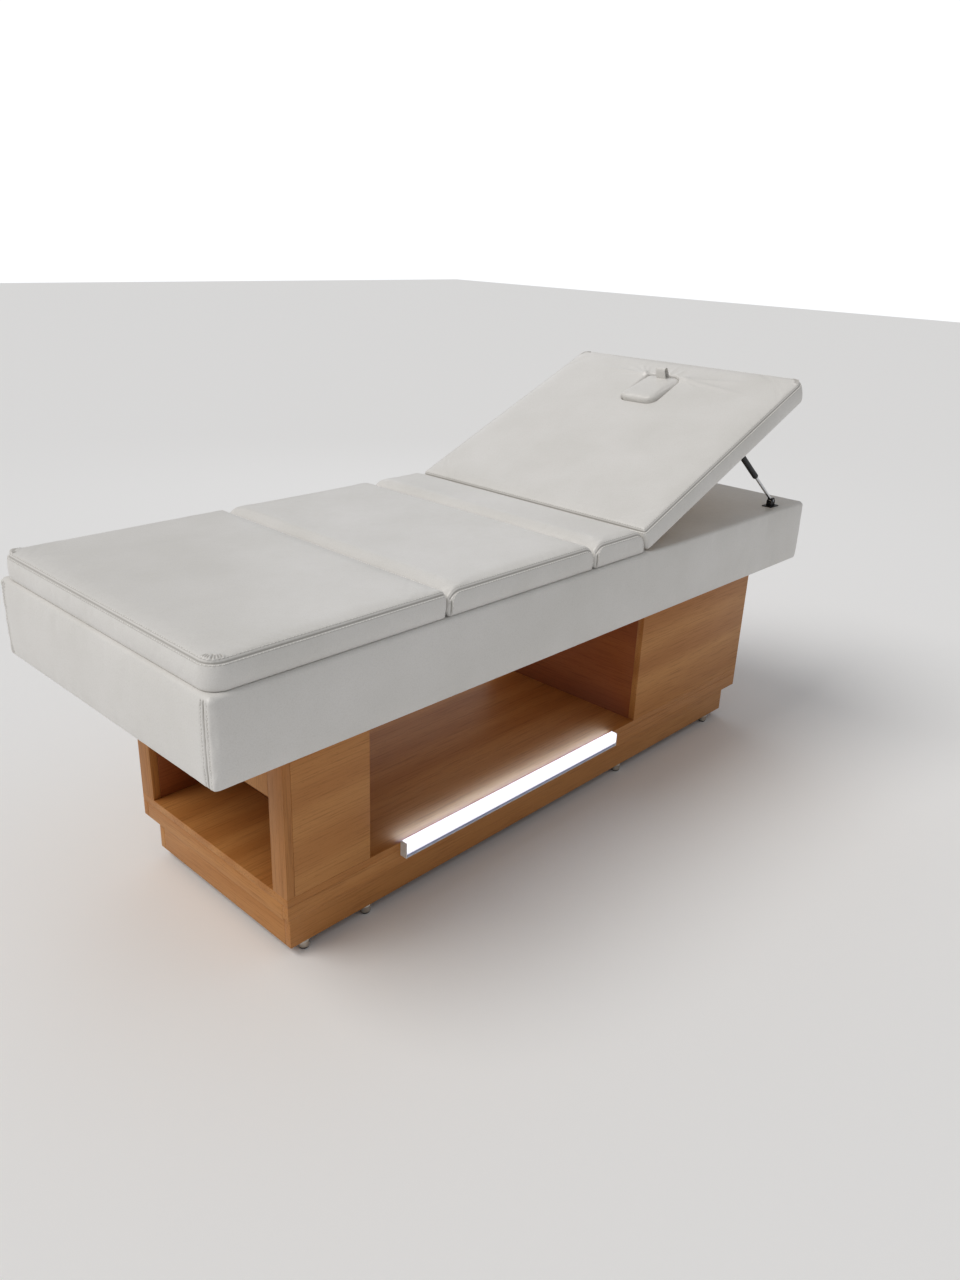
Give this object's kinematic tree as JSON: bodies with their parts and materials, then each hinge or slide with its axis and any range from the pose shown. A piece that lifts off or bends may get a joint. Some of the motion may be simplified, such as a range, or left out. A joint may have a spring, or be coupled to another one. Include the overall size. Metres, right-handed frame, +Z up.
{
  "type": "treatment bed",
  "caption": "Upholstered treatment bed: padded box tray and cushions on a laminate cabinet base, with a hinged back on struts, a face hole plug and a light on the shelf.",
  "frame": {"origin": "on the floor below the middle of the tray", "axes": "+X from the foot end to the head end, +Z up, -Y the long side with the light"},
  "size_m": [1.9, 0.75, 1.0226],
  "materials": {
    "beech_laminate": "satin",
    "plywood": "matte",
    "ivory_cover": "satin",
    "ivory_cushion": "satin",
    "black_steel": "satin",
    "chrome_rod": "polished",
    "zinc_steel": "satin",
    "nickel_cup": "polished",
    "nylon": "matte",
    "anodised_rail": "satin",
    "opal_diffuser": "gloss",
    "white_plastic": "matte",
    "led_board": "matte",
    "black_plastic": "matte"
  },
  "bodies": {
    "base": {"base_bolts": "zinc_steel", "block_top_boards": "beech_laminate", "foot_face_frame": "beech_laminate", "foot_inner_panel": "beech_laminate", "foot_lining_far": "beech_laminate", "foot_lining_near": "beech_laminate", "foot_panel_far": "beech_laminate", "foot_panel_near": "beech_laminate", "glide_cups": "nickel_cup", "glide_soles": "nylon", "head_end_panel": "beech_laminate", "head_inner_panel": "beech_laminate", "head_panel_far": "beech_laminate", "head_panel_near": "beech_laminate", "hinge_fixed_leaves": "zinc_steel", "hinge_fixed_screws": "zinc_steel", "hinge_pins": "zinc_steel", "led_diffuser": "opal_diffuser", "led_driver": "white_plastic", "led_end_caps": "white_plastic", "led_rail": "anodised_rail", "led_strip": "led_board", "leg_board": "plywood", "leg_cushion": "ivory_cushion", "narrow_board": "plywood", "narrow_cushion": "ivory_cushion", "niche_ceiling": "beech_laminate", "plinth_cross_boards": "beech_laminate", "plinth_far": "beech_laminate", "plinth_near": "beech_laminate", "power_inlet": "black_plastic", "seat_board": "plywood", "seat_cushion": "ivory_cushion", "shelf_board": "beech_laminate", "shelf_cross_rails": "beech_laminate", "shelf_rail_far": "beech_laminate", "shelf_rail_near": "beech_laminate", "strut_lower_brackets": "black_steel", "strut_lower_pins": "zinc_steel", "tray_bottom_board": "plywood", "tray_cover": "ivory_cover", "tray_cross_boards": "plywood", "tray_deck": "plywood", "tray_rail_far": "plywood", "tray_rail_near": "plywood"},
    "back": {"back_board": "plywood", "back_cushion": "ivory_cushion", "hinge_moving_leaves": "zinc_steel", "hinge_moving_screws": "zinc_steel", "strut_upper_brackets": "black_steel"},
    "plug": {"face_plug": "ivory_cushion", "plug_tab": "ivory_cover"},
    "rod_near": {"strut_rod_near": "chrome_rod"},
    "tube_near": {"strut_tube_near": "black_steel", "strut_upper_pin_near": "zinc_steel"},
    "rod_far": {"strut_rod_far": "chrome_rod"},
    "tube_far": {"strut_tube_far": "black_steel", "strut_upper_pin_far": "zinc_steel"}
  },
  "joints": [
    {"name": "back_lift", "type": "hinge", "parent": "base", "child": "back", "pos_m": [0.198, 0, 0.6903], "axis": [0, -1, 0], "range_deg": [-23, 0]},
    {"name": "plug_lift", "type": "slide", "parent": "back", "child": "plug", "axis": [-0.3907, 0, 0.9205], "range_m": [0, 0.07]},
    {"name": "strut_swing_near", "type": "hinge", "parent": "base", "child": "rod_near", "pos_m": [0.824, -0.337, 0.702], "axis": [0, -1, 0], "range_deg": [0, 38]},
    {"name": "strut_extend_near", "type": "slide", "parent": "rod_near", "child": "tube_near", "axis": [-0.8003, 0, 0.5996], "range_m": [-0.0965, 0]},
    {"name": "strut_swing_far", "type": "hinge", "parent": "base", "child": "rod_far", "pos_m": [0.824, 0.337, 0.702], "axis": [0, -1, 0], "range_deg": [0, 38]},
    {"name": "strut_extend_far", "type": "slide", "parent": "rod_far", "child": "tube_far", "axis": [-0.8003, 0, 0.5996], "range_m": [-0.0965, 0]}
  ],
  "couplings": [
    {"joint": "strut_swing_near", "follows": "back_lift", "ratio": -1.6217},
    {"joint": "strut_extend_near", "follows": "back_lift", "m_per_rad": 0.23724},
    {"joint": "strut_swing_far", "follows": "back_lift", "ratio": -1.6217},
    {"joint": "strut_extend_far", "follows": "back_lift", "m_per_rad": 0.23724}
  ]
}
